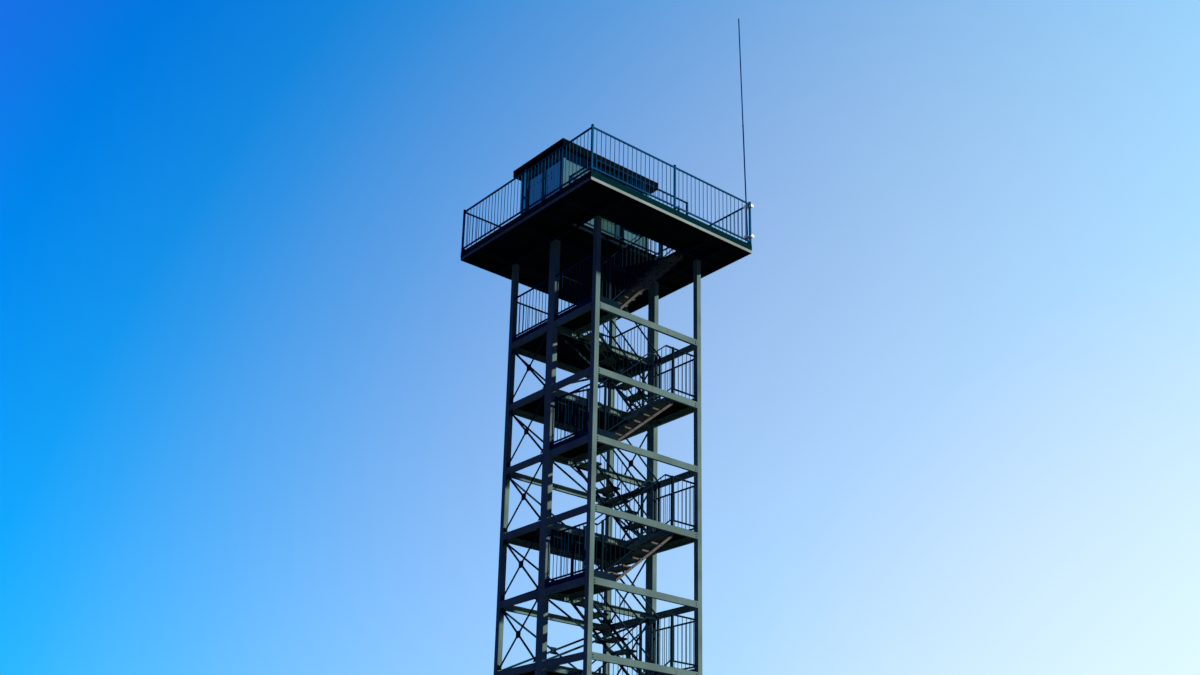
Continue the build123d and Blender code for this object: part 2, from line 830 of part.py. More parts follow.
# Clamps: a block round the whip on the post's inner face, and a counter plate on its outer face
post_inner_face = post_line + post_side / 2
post_outer_face = post_line - post_side / 2
with BuildPart() as antenna_clamps:
    for height in clamp_heights:
        low = deck_floor + height
        high = low + clamp_depth
        block(
            antenna_x - clamp_reach, far_post_line + post_side / 2,
            post_inner_face, antenna_y + clamp_reach, low, high,
        )
        block(
            far_post_line - clamp_width / 2, far_post_line + clamp_width / 2,
            post_outer_face - clamp_depth, post_outer_face, low, high,
        )
    with Locations(antenna_foot.location):
        whole = (Align.CENTER, Align.CENTER, Align.MIN)
        Cylinder(antenna_radius, antenna_base_length, align=whole, mode=Mode.SUBTRACT)
save(antenna_clamps.part, "antenna_clamps")
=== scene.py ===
import json
from math import cos, hypot, pi, radians, sin, tau

import bmesh
import bpy
from mathutils import Matrix, Vector


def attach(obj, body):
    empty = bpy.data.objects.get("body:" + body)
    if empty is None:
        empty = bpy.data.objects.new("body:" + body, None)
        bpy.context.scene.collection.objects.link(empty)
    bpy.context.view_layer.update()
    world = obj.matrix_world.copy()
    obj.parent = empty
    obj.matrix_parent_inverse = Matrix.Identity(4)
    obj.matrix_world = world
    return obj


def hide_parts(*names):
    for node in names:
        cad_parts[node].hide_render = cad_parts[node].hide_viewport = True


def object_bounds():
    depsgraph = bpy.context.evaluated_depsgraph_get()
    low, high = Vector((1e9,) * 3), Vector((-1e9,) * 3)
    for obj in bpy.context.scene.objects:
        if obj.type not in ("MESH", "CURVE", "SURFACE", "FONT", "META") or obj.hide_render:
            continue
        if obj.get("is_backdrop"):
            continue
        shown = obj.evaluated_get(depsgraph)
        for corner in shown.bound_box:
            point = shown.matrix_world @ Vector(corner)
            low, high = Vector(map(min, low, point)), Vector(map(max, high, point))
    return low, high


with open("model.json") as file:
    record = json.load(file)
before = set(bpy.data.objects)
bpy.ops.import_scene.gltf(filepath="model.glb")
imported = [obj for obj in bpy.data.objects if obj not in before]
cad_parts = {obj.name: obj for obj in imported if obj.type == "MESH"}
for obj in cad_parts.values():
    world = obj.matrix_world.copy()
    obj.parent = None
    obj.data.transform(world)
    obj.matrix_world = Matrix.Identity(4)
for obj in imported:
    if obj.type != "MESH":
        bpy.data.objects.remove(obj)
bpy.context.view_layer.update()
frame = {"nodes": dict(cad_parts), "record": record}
nodes = frame["nodes"]
X, Y, Z = Vector((1, 0, 0)), Vector((0, 1, 0)), Vector((0, 0, 1))
SIDES = {
    "left": (0, min), "right": (0, max),
    "front": (1, min), "back": (1, max),
    "foot": (2, min), "top": (2, max),
}


def end_of(name, side):
    """Where a CAD node ends on one of its sides, in metres to the hundredth of a millimetre."""
    axis, pick = SIDES[side]
    corners = [nodes[name].matrix_world @ Vector(corner) for corner in nodes[name].bound_box]
    return round(pick(corner[axis] for corner in corners), 5)


# Frame of the tower, in metres as all sizes here
STOREYS = 9
STOREY = end_of("landings", "top") / STOREYS
HALF = end_of("corner_columns", "right")
COLUMN_HALF = 0.06
COLUMN_LINE = HALF - COLUMN_HALF
COLUMN_INNER = COLUMN_LINE - COLUMN_HALF
MIDDLE_HALF = end_of("middle_columns", "back")
BASE_TOP = end_of("base_plates", "top")
PLATE = 0.005
BEAM = 0.14
WEB = 0.007
FLANGE = 0.06

# Stairs
LEFT_EDGE = -HALF + 0.68
RIGHT_EDGE = HALF - 0.80
OPENING_END = -HALF + 2.46
FRONT_LANE = end_of("front_stringers", "front")
BACK_LANE = end_of("back_stringers", "front")
LANE = end_of("front_stringers", "back") - FRONT_LANE
RISERS = 7
TOP_RISERS = 10
STRINGER_WIDTH = 0.04
BRACKET = 0.006

# Deck and railings
DECK = end_of("deck_plates", "top")
DECK_MIDDLE = (end_of("deck_plates", "left") + end_of("deck_plates", "right")) / 2
DECK_REACH = (end_of("deck_plates", "right") - end_of("deck_plates", "left")) / 2
POST = 0.02
DECK_LOW = DECK_MIDDLE - DECK_REACH + POST
DECK_HIGH = DECK_MIDDLE + DECK_REACH - POST
RAIL_HEIGHT = 1.1
TOE_TOP = DECK + 0.112

# Cabin
CABIN_LEFT = end_of("cabin_left_wall", "left")
CABIN_RIGHT = end_of("cabin_right_wall", "right")
CABIN_FRONT = end_of("cabin_left_wall", "front")
CABIN_BACK = end_of("cabin_left_wall", "back")
CABIN_TOP = end_of("cabin_left_wall", "top")
CABIN_LENGTH = CABIN_RIGHT - CABIN_LEFT
CABIN_WIDTH = CABIN_BACK - CABIN_FRONT
WALL = 0.06
SILL = DECK + 0.95
HEAD = DECK + 2.09
SIDE_PANES = ((0.10, 0.71), (0.76, 1.33))
BACK_PANES = ((0.19, 0.82), (0.955, 1.585), (1.72, 2.35))
FRONT_PANES = ((1.85, 2.35),)
DOOR_LEFT = end_of("cabin_door", "left")
DOOR_RIGHT = end_of("cabin_door", "right")
DOOR_TOP = end_of("cabin_door", "top")
DOOR_FACE = end_of("cabin_door", "front")


# Colours as they look on a screen, turned into the linear values that shaders take
def linear(colour):
    return tuple(c / 12.92 if c <= 0.04045 else ((c + 0.055) / 1.055) ** 2.4 for c in colour)


PAINT = linear((0.48, 0.60, 0.57))
PAINT_WORN = linear((0.40, 0.50, 0.47))
BRACE = linear((0.14, 0.26, 0.31))
BRACE_WORN = linear((0.11, 0.20, 0.24))
RAIL = linear((0.04, 0.26, 0.40))
RAIL_WORN = linear((0.04, 0.20, 0.31))
DECK_RAIL = linear((0.08, 0.40, 0.58))
DECK_RAIL_WORN = linear((0.07, 0.32, 0.47))
TOE = linear((0.02, 0.20, 0.22))
EDGE = linear((0.70, 0.77, 0.72))
EDGE_WORN = linear((0.60, 0.67, 0.60))
# Painted shade: the floor plates of the landings and the deck, as dark as their undersides look in shade
PLATE_PAINTED_SHADE = linear((0.10, 0.12, 0.13))
PLATE_PAINTED_SHADE_WORN = linear((0.15, 0.17, 0.17))
PANEL = linear((0.36, 0.55, 0.59))
PANEL_WORN = linear((0.30, 0.47, 0.51))
DOOR = linear((0.28, 0.42, 0.40))
DOOR_WORN = linear((0.22, 0.35, 0.33))
ROOF = linear((0.04, 0.07, 0.08))
ROOF_WORN = linear((0.08, 0.11, 0.12))
TREAD = linear((0.45, 0.50, 0.47))
TREAD_WORN = linear((0.33, 0.38, 0.36))
SLEEVE = linear((0.0, 0.40, 0.72))
SLEEVE_WORN = linear((0.02, 0.42, 0.70))
# Painted reflection: the panes' blue and their mirror layer's blue tint stand in for the sky they reflect
PANE_PAINTED_REFLECTION = linear((0.02, 0.22, 0.38))
REFLECTION_PAINTED_BLUE = linear((0.05, 0.75, 1.0))
# Painted shade: a dark colour for parts that stand in shade under the deck and in the flights
PAINTED_SHADE = linear((0.07, 0.15, 0.20))
PAINTED_SHADE_WORN = linear((0.10, 0.19, 0.23))
STRINGER = linear((0.48, 0.46, 0.43))
STRINGER_WORN = linear((0.40, 0.38, 0.35))
METAL = linear((0.80, 0.81, 0.80))
METAL_DULL = linear((0.62, 0.63, 0.62))
RUST = linear((0.42, 0.25, 0.15))
FLOOR = linear((0.74, 0.74, 0.72))
FLOOR_BOUNCE = linear((0.02, 0.03, 0.08))
SKY_LIGHT = (0.0, 0.05, 1.0)

# Unevenness of the painted surfaces, in bumps a metre
PATCHES = 1.3
STREAKS = 11.0
FINE_WEAR = 90.0
RUST_SPECKS = 38.0
RUST_SPREAD = 1.7
BRUSH_MARKS = 260.0
UPRIGHT_STREAK = (1, 1, 0.05)
UPRIGHT_SPECK = (1, 1, 0.4)
UPRIGHT_GRAIN = (1, 1, 0.04)

# Sockets of a Mix node that mixes colours
MIX_SHARE, MIX_FIRST, MIX_SECOND, MIX_RESULT = 0, 6, 7, 2


class Graph:
    """A material's node tree, with short ways to add nodes and links."""

    def __init__(self, name):
        self.material = bpy.data.materials.new(name)
        self.material.use_nodes = True
        self.tree = self.material.node_tree
        self.shader = self.tree.nodes["Principled BSDF"]

    def node(self, kind, **settings):
        made = self.tree.nodes.new(kind)
        for key, value in settings.items():
            setattr(made, key, value)
        return made

    def link(self, source, target):
        self.tree.links.new(source, target)

    def place(self, stretch=(1, 1, 1), turn=0.0):
        """The surface point in metres, turned about the upright axis and scaled by stretch."""
        spot = self.node("ShaderNodeTexCoord")
        mapping = self.node("ShaderNodeMapping")
        mapping.inputs["Rotation"].default_value = (0, 0, turn)
        mapping.inputs["Scale"].default_value = stretch
        self.link(spot.outputs["Object"], mapping.inputs["Vector"])
        return mapping.outputs["Vector"]

    def split(self, turn=0.0):
        """The three coordinates of the surface point."""
        made = self.node("ShaderNodeSeparateXYZ")
        self.link(self.place(turn=turn), made.inputs[0])
        return made.outputs

    def noise(self, bumps, detail=4.0, stretch=(1, 1, 1)):
        """Value noise with so many bumps in a metre."""
        made = self.node("ShaderNodeTexNoise")
        made.inputs["Scale"].default_value = bumps
        made.inputs["Detail"].default_value = detail
        self.link(self.place(stretch), made.inputs["Vector"])
        return made.outputs["Fac"]

    def ramp(self, value, low, high, start=0.0, end=1.0):
        """The value from start at low to end at high."""
        made = self.node("ShaderNodeMapRange")
        for socket, number in (("From Min", low), ("From Max", high), ("To Min", start), ("To Max", end)):
            made.inputs[socket].default_value = number
        self.link(value, made.inputs["Value"])
        return made.outputs["Result"]

    def mix(self, share, first, second):
        """The second colour laid over the first by share."""
        made = self.node("ShaderNodeMix", data_type="RGBA")
        for socket, colour in ((made.inputs[MIX_FIRST], first), (made.inputs[MIX_SECOND], second)):
            if isinstance(colour, tuple):
                socket.default_value = (*colour, 1)
            else:
                self.link(colour, socket)
        self.link(share, made.inputs[MIX_SHARE])
        return made.outputs[MIX_RESULT]

    def math(self, operation, first, second=0.0):
        made = self.node("ShaderNodeMath", operation=operation)
        for socket, value in zip(made.inputs, (first, second)):
            if isinstance(value, (int, float)):
                socket.default_value = value
            else:
                self.link(value, socket)
        return made.outputs[0]

    def wave(self, pitch, turn=0.0, axis="X"):
        """A sine of the place along one axis, repeating every pitch metres."""
        return self.math("SINE", self.math("MULTIPLY", self.split(turn)[axis], tau / pitch))

    def colour(self, source):
        self.link(source, self.shader.inputs["Base Color"])

    def matt(self):
        """No mirror layer on the surface, as on paint that has weathered dull."""
        self.shader.inputs["Specular IOR Level"].default_value = 0.0

    def roughness(self, bumps, least, most, spread=0.3):
        """Roughness that wanders between least and most, as noise leaves its middle by spread."""
        wander = self.ramp(self.noise(bumps), 0.5 - spread, 0.5 + spread, least, most)
        self.link(wander, self.shader.inputs["Roughness"])

    def bump(self, height, distance, strength=1.0):
        made = self.node("ShaderNodeBump")
        made.inputs["Distance"].default_value = distance
        made.inputs["Strength"].default_value = strength
        self.link(height, made.inputs["Height"])
        self.link(made.outputs["Normal"], self.shader.inputs["Normal"])


def weathered(g, colour, worn, rust):
    """Colour with faded patches, rain streaks and rust that gathers in a few places."""
    patches = g.ramp(g.noise(PATCHES), 0.42, 0.70)
    streaks = g.ramp(g.noise(STREAKS, 3.0, UPRIGHT_STREAK), 0.54, 0.82)
    faded = g.mix(g.math("MAXIMUM", patches, streaks), colour, worn)
    fine = g.mix(g.ramp(g.noise(FINE_WEAR, 2.0), 0.40, 0.75, end=0.35), faded, worn)
    specks = g.ramp(g.noise(RUST_SPECKS, 5.0, UPRIGHT_SPECK), 0.66, 0.74)
    spread = g.ramp(g.noise(RUST_SPREAD, 3.0), 0.50, 0.68, end=rust)
    g.colour(g.mix(g.math("MULTIPLY", specks, spread), fine, RUST))
    return specks


def above_toe(g):
    """1 over the toe boards of the deck's railings, 0 on them."""
    return g.ramp(g.split()["Z"], TOE_TOP - 0.001, TOE_TOP + 0.001)


def outer_face(g):
    """1 on the faces all round the deck that look outward, 0 inside them, where the edges take painted
    shade.
    """
    place = g.split()
    sides = [g.math("ABSOLUTE", g.math("SUBTRACT", place[axis], DECK_MIDDLE)) for axis in "XY"]
    return g.ramp(g.math("MAXIMUM", *sides), DECK_REACH - 0.004, DECK_REACH - 0.002)


def painted_steel(name, colour, worn, rust=0.5, other=None, share=None):
    """Brushed-on steel paint with a slightly uneven surface, in another colour where share is 0."""
    g = Graph(name)
    g.matt()
    if other:
        part = share(g)
        colour, worn = g.mix(part, other, colour), g.mix(part, other, worn)
    specks = weathered(g, colour, worn, rust)
    g.roughness(16.0, 0.38, 0.62)
    brushed = g.math("ADD", g.noise(BRUSH_MARKS, 2.0), g.math("MULTIPLY", specks, 0.8))
    g.bump(brushed, distance=0.0006, strength=0.5)
    return g.material


def tread_plate(name, colour, worn, pitch=0.045):
    """Painted plate with rows of raised bars set crosswise."""
    g = Graph(name)
    g.matt()
    weathered(g, colour, worn, rust=0.6)
    g.roughness(22.0, 0.45, 0.72)
    across, along = g.wave(pitch, pi / 4), g.wave(pitch, pi / 4, "Y")
    bars = []
    for ridge, gap in ((across, along), (along, g.math("MULTIPLY", across, -1.0))):
        bars.append(g.math("MULTIPLY", g.ramp(ridge, 0.72, 0.88), g.ramp(gap, -0.1, 0.3)))
    grit = g.math("MULTIPLY", g.noise(180.0, 2.0), 0.12)
    g.bump(g.math("ADD", g.math("MAXIMUM", *bars), grit), distance=0.0018, strength=0.9)
    return g.material


def boards(name, colour, worn, pitch):
    """Painted boards standing side by side, with fine grain along them."""
    g = Graph(name)
    g.matt()
    weathered(g, colour, worn, rust=0.0)
    g.roughness(14.0, 0.45, 0.70)
    both = g.math("MAXIMUM", g.wave(pitch), g.wave(pitch, axis="Y"))
    joints = g.ramp(both, 0.985, 1.0, start=1.0, end=0.0)
    grain = g.math("MULTIPLY", g.noise(120.0, 3.0, UPRIGHT_GRAIN), 0.25)
    g.bump(g.math("ADD", joints, grain), distance=0.0015, strength=0.6)
    return g.material


def glass(name):
    """Window glass, slightly wavy and dusty, whose blue tint and blue-tinted reflections are a painted
    reflection of the sky.
    """
    g = Graph(name)
    for socket, value in (
        ("Base Color", (*PANE_PAINTED_REFLECTION, 1)), ("Specular Tint", (*REFLECTION_PAINTED_BLUE, 1)),
        ("Transmission Weight", 0.3), ("IOR", 2.3),
    ):
        g.shader.inputs[socket].default_value = value
    g.roughness(5.0, 0.02, 0.09, spread=0.2)
    g.bump(g.noise(2.2, 1.0), distance=0.002, strength=0.3)
    return g.material


def bare_metal(name):
    """Galvanised steel with a crystalline mottle."""
    g = Graph(name)
    g.shader.inputs["Metallic"].default_value = 0.85
    g.colour(g.mix(g.ramp(g.noise(70.0), 0.35, 0.65), METAL, METAL_DULL))
    g.roughness(40.0, 0.34, 0.52, spread=0.2)
    return g.material


def smooth_sleeve(name):
    """Resin tube, faded and scuffed."""
    g = Graph(name)
    g.matt()
    g.colour(g.mix(g.ramp(g.noise(6.0), 0.4, 0.7), SLEEVE, SLEEVE_WORN))
    g.roughness(50.0, 0.45, 0.60, spread=0.2)
    return g.material


materials = {
    "frame_paint": painted_steel("frame_paint", PAINT, PAINT_WORN),
    "brace_paint": painted_steel("brace_paint", BRACE, BRACE_WORN),
    "rail_paint": painted_steel("rail_paint", RAIL, RAIL_WORN, 0.3),
    # The floor plates in a dark colour that is painted shade
    "floor_paint": tread_plate("floor_paint", PLATE_PAINTED_SHADE, PLATE_PAINTED_SHADE_WORN),
    "tread_steel": painted_steel("tread_steel", TREAD, TREAD_WORN, 0.4),
    "cabin_panel": boards("cabin_panel", PANEL, PANEL_WORN, pitch=0.24),
    "door_paint": boards("door_paint", DOOR, DOOR_WORN, pitch=0.17),
    "roof_boards": boards("roof_boards", ROOF, ROOF_WORN, pitch=0.30),
    "window_glass": glass("window_glass"),
    "antenna_sleeve": smooth_sleeve("antenna_sleeve"),
    "clamp_metal": bare_metal("clamp_metal"),
}

# Nodes whose paint differs from the rest of their slot. The dark shaded paint is painted shade: under the
# deck, on the landings' kick plates, on the back stringers and on the flights' guards
painted_shade_paint = painted_steel("painted_shade_paint", PAINTED_SHADE, PAINTED_SHADE_WORN, 0.3)
stringer_paint = painted_steel("stringer_paint", STRINGER, STRINGER_WORN, 0.3)
deck_rail_paint = painted_steel("deck_rail_paint", DECK_RAIL, DECK_RAIL_WORN, 0.3, TOE, above_toe)
own_paint = {
    # Deck edges: painted shade on their inner faces. The side edges keep the frame's paint, darker than the
    # long edges' cream, partly as painted shade
    "deck_long_edges": painted_steel("long_edge_paint", EDGE, EDGE_WORN, 0.3, PAINTED_SHADE, outer_face),
    "deck_side_edges": painted_steel("side_edge_paint", PAINT, PAINT_WORN, 0.3, PAINTED_SHADE, outer_face),
}
for names, paint in (
    (("front_railing", "back_railing", "left_railing", "right_railing"), deck_rail_paint),
    (("front_stringers", "top_stringers"), stringer_paint),
    # The rails of the top flight and of the well take the darker bracing paint, partly as painted shade
    (("top_flight_railings", "well_handrails"), materials["brace_paint"]),
    # Painted shade under the deck and on the landings' kick plates
    (("deck_main_beams", "deck_joists", "landing_kick_plates"), painted_shade_paint),
    # Painted shade on the back stringers and on the flights' guards
    (("back_stringers", "front_flight_railings", "back_flight_railings"), painted_shade_paint),
):
    for name in names:
        own_paint[name] = paint
for row in frame["record"]["subparts"]:
    for socket in nodes[row["node"]].material_slots:
        socket.material = own_paint.get(row["node"], materials[row["material_slot"]])


# Bolts, in shares of the half width across the hexagon's corners
WASHER_REACH = 1.25
WASHER_TOP = 0.2
CHAMFER_FOOT = 0.8
CHAMFER_REACH = 0.82
HEAD_TOP = 0.95
THREAD_FOOT = 0.9
THREAD_REACH = 0.5
THREAD_TIP = 0.4
WASHER_SIDES = 10
HEAD_SIDES = 6
THREAD_SIDES = 8

# Edges: the angles from which they are shaded sharp and rounded, and the widths of the rounding
SHARP_FROM = radians(35)
ROUNDED_FROM = radians(50)
EDGE_SEGMENTS = 2
FITTING_EDGE = 0.0008
PLATE_EDGE = 0.001
SLIM_EDGE = 0.0015
BOARD_EDGE = 0.002
SECTION_EDGE = 0.003
COLUMN_EDGE = 0.006


class Shape:
    """A mesh put together from closed prisms and turned forms, in metres."""

    def __init__(self):
        self.points = []
        self.faces = []

    def rings(self, rings):
        """A closed skin over rings with the same number of points."""
        first, count = len(self.points), len(rings[0])
        for ring in rings:
            self.points += ring
        self.faces.append([first + i for i in reversed(range(count))])
        self.faces.append([first + (len(rings) - 1) * count + i for i in range(count)])
        for step in range(len(rings) - 1):
            low = first + step * count
            for i in range(count):
                j = (i + 1) % count
                self.faces.append([low + i, low + j, low + count + j, low + count + i])

    def prism(self, outline, along):
        """The outline swept by a vector."""
        outline = [Vector(point) for point in outline]
        self.rings([outline, [point + Vector(along) for point in outline]])

    def box(self, low, high):
        (x0, y0, z0), (x1, y1, z1) = low, high
        self.prism([(x0, y0, z0), (x1, y0, z0), (x1, y1, z0), (x0, y1, z0)], (0, 0, z1 - z0))

    def slab(self, origin, sides, spans):
        """A block along three directions from an origin, each with its own start and end."""
        (a, b, c), ((a0, a1), (b0, b1), (c0, c1)) = sides, spans
        start = origin + c * c0
        corners = [start + a * u + b * v for u, v in ((a0, b0), (a1, b0), (a1, b1), (a0, b1))]
        self.prism(corners, c * (c1 - c0))

    def surround(self, origin, sides, outer, inner, thick):
        """Four bars between an outer and an inner rectangle in the first two of three directions."""
        (low, high), (foot, top) = outer
        (start, end), (sill, head) = inner
        for across, up in (
            ((low, high), (foot, sill)),
            ((low, high), (head, top)),
            ((low, start), (sill, head)),
            ((end, high), (sill, head)),
        ):
            self.slab(origin, sides, (across, up, thick))

    def turned(self, foot, axis, profile, sides=12):
        """A form turned about an axis; profile is (height, radius) from the foot up."""
        axis = Vector(axis).normalized()
        across = axis.orthogonal().normalized()
        beside = axis.cross(across)
        rings = []
        for height, radius in profile:
            middle = Vector(foot) + axis * height
            angles = [tau * i / sides for i in range(sides)]
            rings.append([middle + (across * cos(a) + beside * sin(a)) * radius for a in angles])
        self.rings(rings)

    def bolt(self, foot, axis, size, stub=0.0):
        """A washer and a chamfered hexagon, with the thread's end standing out by stub."""
        washer = [(0, WASHER_REACH * size), (WASHER_TOP * size, WASHER_REACH * size)]
        self.turned(foot, axis, washer, WASHER_SIDES)
        head = [(WASHER_TOP * size, size), (CHAMFER_FOOT * size, size)]
        head.append((HEAD_TOP * size, CHAMFER_REACH * size))
        self.turned(foot, axis, head, HEAD_SIDES)
        if stub:
            low, reach = THREAD_FOOT * size, THREAD_REACH * size
            thread = [(low, reach), (low + stub, reach), (size + stub, THREAD_TIP * size)]
            self.turned(foot, axis, thread, THREAD_SIDES)

    def piece(self, name, slot, replaced=(), bevel=0.0):
        """The finished object, riding on the tower."""
        mesh = bpy.data.meshes.new(name)
        mesh.from_pydata([tuple(point) for point in self.points], [], self.faces)
        work = bmesh.new()
        work.from_mesh(mesh)
        bmesh.ops.recalc_face_normals(work, faces=work.faces)
        work.to_mesh(mesh)
        work.free()
        mesh.shade_smooth()
        mesh.set_sharp_from_angle(angle=SHARP_FROM)
        mesh.materials.append(materials[slot])
        made = bpy.data.objects.new(name, mesh)
        bpy.context.collection.objects.link(made)
        if bevel:
            soften(made, bevel)
        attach(made, "root")
        if replaced:
            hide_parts(*replaced)


def inset(spans, amount):
    """The two spans of a rectangle, smaller by an amount on every side."""
    return [(low + amount, high - amount) for low, high in spans]


def soften(item, width):
    """Rounded edges on an object whose faces share their corners."""
    modifier = item.modifiers.new("edges", "BEVEL")
    modifier.width = width
    modifier.segments = EDGE_SEGMENTS
    modifier.limit_method = "ANGLE"
    modifier.angle_limit = ROUNDED_FROM
    modifier.harden_normals = True


# Anchor bolts through the base plates, and the weld round each column's foot
ANCHOR_REACH = 0.055
ANCHOR_BOLT = 0.017
ANCHOR_STUB = 0.03
FOOT_WELD = 0.008
anchors, welds = Shape(), Shape()


def footing(x, y, half_y):
    """The anchor bolts and weld beads of a column that reaches half_y to its front and back."""
    for sx in (-1, 1):
        for sy in (-1, 1):
            spot = (x + sx * (COLUMN_HALF + ANCHOR_REACH), y + sy * (half_y + ANCHOR_REACH), BASE_TOP)
            anchors.bolt(spot, Z, ANCHOR_BOLT, ANCHOR_STUB)
        corner = Vector((x + sx * COLUMN_HALF, y - half_y, BASE_TOP))
        welds.prism([corner, corner + X * (sx * FOOT_WELD), corner + Z * FOOT_WELD], Y * (2 * half_y))
    for sy in (-1, 1):
        corner = Vector((x - COLUMN_HALF, y + sy * half_y, BASE_TOP))
        welds.prism([corner, corner + Y * (sy * FOOT_WELD), corner + Z * FOOT_WELD], X * (2 * COLUMN_HALF))


for x in (-COLUMN_LINE, COLUMN_LINE):
    for y in (-COLUMN_LINE, COLUMN_LINE):
        footing(x, y, COLUMN_HALF)
    footing(x, 0, MIDDLE_HALF)
anchors.piece("anchor_bolts", "clamp_metal")

# Angle cleats and bolts where each channel meets a column, and weld beads across its flanges
CLEAT_LEG = 0.055
CLEAT_PLATE = 0.006
CLEAT_GAP = 0.0005
CLEAT_INSET = 0.02
BEAM_BOLT = 0.011
BEAM_BOLT_STUB = 0.008
BEAM_BOLT_SETBACK = 0.036
BEAM_BOLT_HEIGHTS = (0.045, 0.095)
BEAD_WIDTH = 0.006
BEAD_HEIGHT = 0.004
cleats, cleat_bolts = Shape(), Shape()


def beam_end(corner, along, inward):
    """What holds one end of a channel, from the lower outer corner of its web."""
    sides = (along, inward, Z)
    face = WEB + CLEAT_PLATE
    upright = (CLEAT_INSET, BEAM - CLEAT_INSET)
    cleats.slab(corner, sides, ((CLEAT_GAP, CLEAT_LEG), (WEB, face), upright))
    cleats.slab(corner, sides, ((CLEAT_GAP, CLEAT_GAP + CLEAT_PLATE), (face, CLEAT_LEG), upright))
    for height in BEAM_BOLT_HEIGHTS:
        spot = corner + along * BEAM_BOLT_SETBACK + Z * height
        cleat_bolts.bolt(spot, -inward, BEAM_BOLT)
        cleat_bolts.bolt(spot + inward * face, inward, BEAM_BOLT, BEAM_BOLT_STUB)
    for height, up in ((0.0, -Z), (BEAM, Z)):
        edge = corner + Z * height
        welds.prism([edge, edge + along * BEAD_WIDTH, edge + up * BEAD_HEIGHT], inward * FLANGE)


for level in range(1, STOREYS + 1):
    foot_of_beam = level * STOREY - PLATE - BEAM
    for sx in (-1, 1):
        for sy in (-1, 1):
            beam_end(Vector((sx * COLUMN_INNER, sy * HALF, foot_of_beam)), -sx * X, -sy * Y)
        for y, way in ((-COLUMN_INNER, 1), (-MIDDLE_HALF, -1), (MIDDLE_HALF, 1), (COLUMN_INNER, -1)):
            beam_end(Vector((sx * HALF, y, foot_of_beam)), way * Y, -sx * X)
cleats.piece("beam_cleats", "frame_paint", bevel=PLATE_EDGE)
cleat_bolts.piece("beam_bolts", "frame_paint")
welds.piece("weld_beads", "frame_paint")

# Bolts through the gussets of the crossed bars
CROSS_FOOT = end_of("left_bracing", "foot")
CROSS_HEIGHT = STOREY - PLATE - BEAM - CROSS_FOOT
BAR_HALF = end_of("middle_bracing", "back")
BRACE_BOLT = 0.012
BOLT_FROM_END = 0.078
BOLT_FROM_MIDDLE = 0.055
brace_bolts = Shape()


def crossing(middle, side, run):
    """The bolts at the ends and round the middle of two crossed bars that span a run along side."""
    normal = side.cross(Z)
    reach = hypot(run, CROSS_HEIGHT) / 2
    for tilt in (-1, 1):
        bar = (side * run + Z * (tilt * CROSS_HEIGHT)) / (2 * reach)
        for place in (BOLT_FROM_END - reach, -BOLT_FROM_MIDDLE, BOLT_FROM_MIDDLE, reach - BOLT_FROM_END):
            for face in (-1, 1):
                out = normal * face
                brace_bolts.bolt(middle + bar * place + out * BAR_HALF, out, BRACE_BOLT)


for level in range(STOREYS):
    height = level * STOREY + CROSS_FOOT + CROSS_HEIGHT / 2
    for sx in (-1, 1):
        bay = Vector((sx * (HALF - FLANGE / 2), (COLUMN_INNER + MIDDLE_HALF) / 2, height))
        crossing(bay, Y, COLUMN_INNER - MIDDLE_HALF)
    crossing(Vector((0, HALF - FLANGE / 2, height)), X, 2 * COLUMN_INNER)
    if level % 2 == 0:
        crossing(Vector((0, 0, height)), X, 2 * COLUMN_INNER)
brace_bolts.piece("brace_bolts", "brace_paint")

# Stairs: every tread a folded plate with lips, a ribbed nosing and a bolt through each stringer
TREAD_DEPTH = 0.275
TREAD_LIP = 0.035
TREAD_FOLD = 0.005
RIBS = 4
RIB_START = 0.012
RIB_PITCH = 0.010
RIB_WIDTH = 0.005
RIB_HEIGHT = 0.002
RIB_END_GAP = 0.01
TREAD_BOLT = 0.010
TREAD_BOLT_PLACE = 0.245
TREAD_BOLT_DROP = 0.015
flights = []
for level in range(STOREYS):
    if level % 2:
        flights.append((LEFT_EDGE, RIGHT_EDGE, FRONT_LANE, level * STOREY, STOREY, RISERS))
    else:
        flights.append((RIGHT_EDGE, LEFT_EDGE, BACK_LANE, level * STOREY, STOREY, RISERS))
landing_top = STOREYS * STOREY
flights.append((LEFT_EDGE, OPENING_END, FRONT_LANE, landing_top, DECK - landing_top, TOP_RISERS))
tread_back = TREAD_DEPTH - TREAD_FOLD
tread_profile = [
    (0, -TREAD_LIP), (0, 0), (TREAD_DEPTH, 0), (TREAD_DEPTH, -TREAD_LIP),
    (tread_back, -TREAD_LIP), (tread_back, -TREAD_FOLD), (TREAD_FOLD, -TREAD_FOLD), (TREAD_FOLD, -TREAD_LIP),
]
treads, nosings, tread_bolts = Shape(), Shape(), Shape()


def tread(nose, way, lane, top):
    """One tread from its nose, running back along way between the stringers of a lane."""
    inside = lane + STRINGER_WIDTH + BRACKET
    outside = lane + LANE - STRINGER_WIDTH - BRACKET
    treads.prism([(nose + way * u, inside, top + v) for u, v in tread_profile], Y * (outside - inside))
    for rib in range(RIBS):
        start = RIB_START + RIB_PITCH * rib
        low, high = sorted((nose + way * start, nose + way * (start + RIB_WIDTH)))
        nosings.box((low, inside + RIB_END_GAP, top), (high, outside - RIB_END_GAP, top + RIB_HEIGHT))
    for face, out in ((lane, -Y), (lane + LANE, Y)):
        tread_bolts.bolt((nose + way * TREAD_BOLT_PLACE, face, top - TREAD_BOLT_DROP), out, TREAD_BOLT)


for first, last, lane, low, rise, count in flights:
    going = (last - first) / (count - 1)
    for number in range(1, count):
        nose = first + (number - 1) * going
        tread(nose, 1 if going > 0 else -1, lane, low + number * rise / count)
treads.piece("tread_pans", "tread_steel", ["stair_treads"], bevel=SLIM_EDGE)
nosings.piece("tread_nosings", "tread_steel")
tread_bolts.piece("tread_bolts", "frame_paint")

